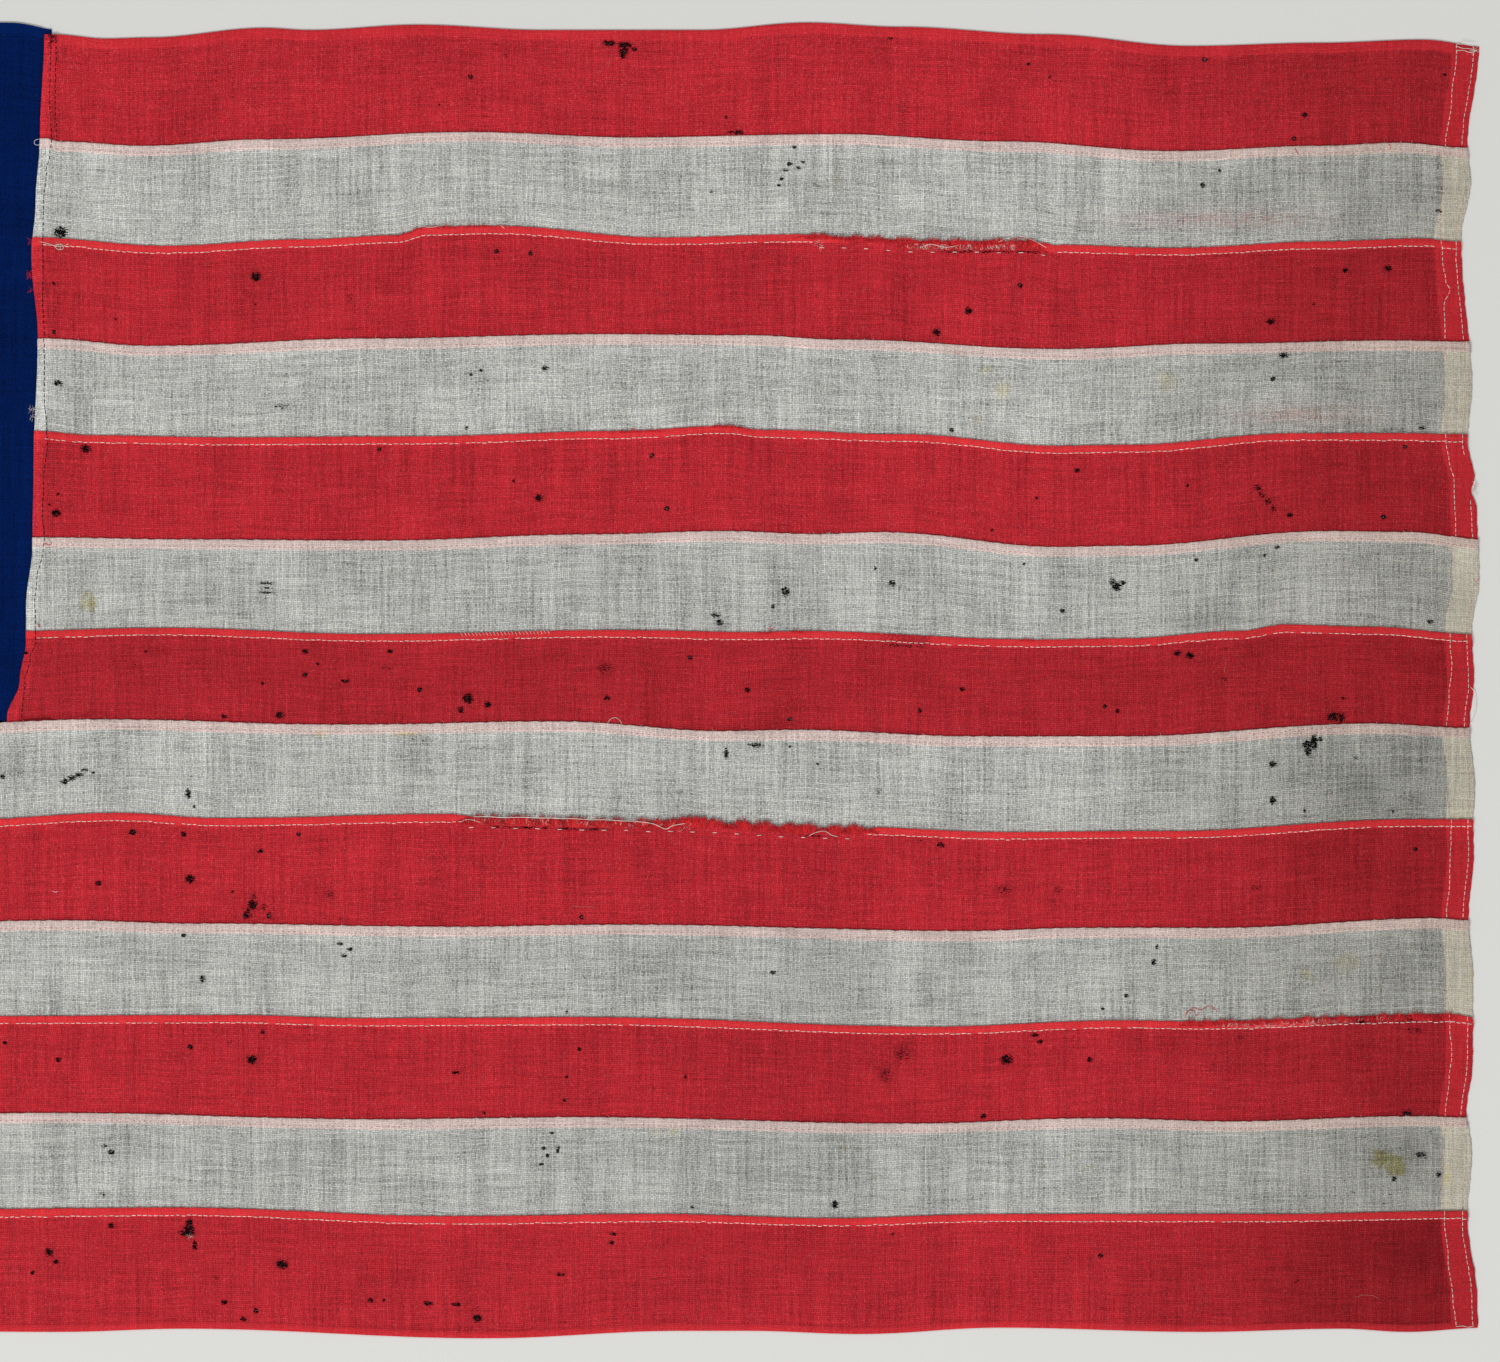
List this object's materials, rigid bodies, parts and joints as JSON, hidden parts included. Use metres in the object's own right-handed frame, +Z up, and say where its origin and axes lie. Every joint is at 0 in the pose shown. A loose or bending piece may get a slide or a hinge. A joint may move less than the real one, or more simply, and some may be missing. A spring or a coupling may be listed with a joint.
{
  "type": "tattered bunting flag",
  "caption": "Worn flag of sheer wool bunting lying flat face up, with red and white lapped stripes, a plain navy canton, a wide fly hem and a canvas heading",
  "frame": {"origin": "on the table under the middle of the flag", "axes": "+X from the hoist to the fly, +Y to the flag's top edge, +Z up out of its face"},
  "size_m": [1.118, 0.6182, 0.0036],
  "materials": {
    "red_bunting": "open plain-weave wool, madder red, with faded and dirty patches",
    "white_bunting": "open plain-weave wool, greyed white, with yellow stains",
    "navy_bunting": "plain-weave wool, dark navy",
    "heading_canvas": "doubled cotton canvas, unbleached"
  },
  "bodies": {
    "root": {"stripe_01": "red_bunting", "stripe_02": "white_bunting", "stripe_03": "red_bunting", "stripe_04": "white_bunting", "stripe_05": "red_bunting", "stripe_06": "white_bunting", "stripe_07": "red_bunting", "stripe_08": "white_bunting", "stripe_09": "red_bunting", "stripe_10": "white_bunting", "stripe_11": "red_bunting", "stripe_12": "white_bunting", "stripe_13": "red_bunting", "canton": "navy_bunting", "heading": "heading_canvas"}
  },
  "joints": []
}
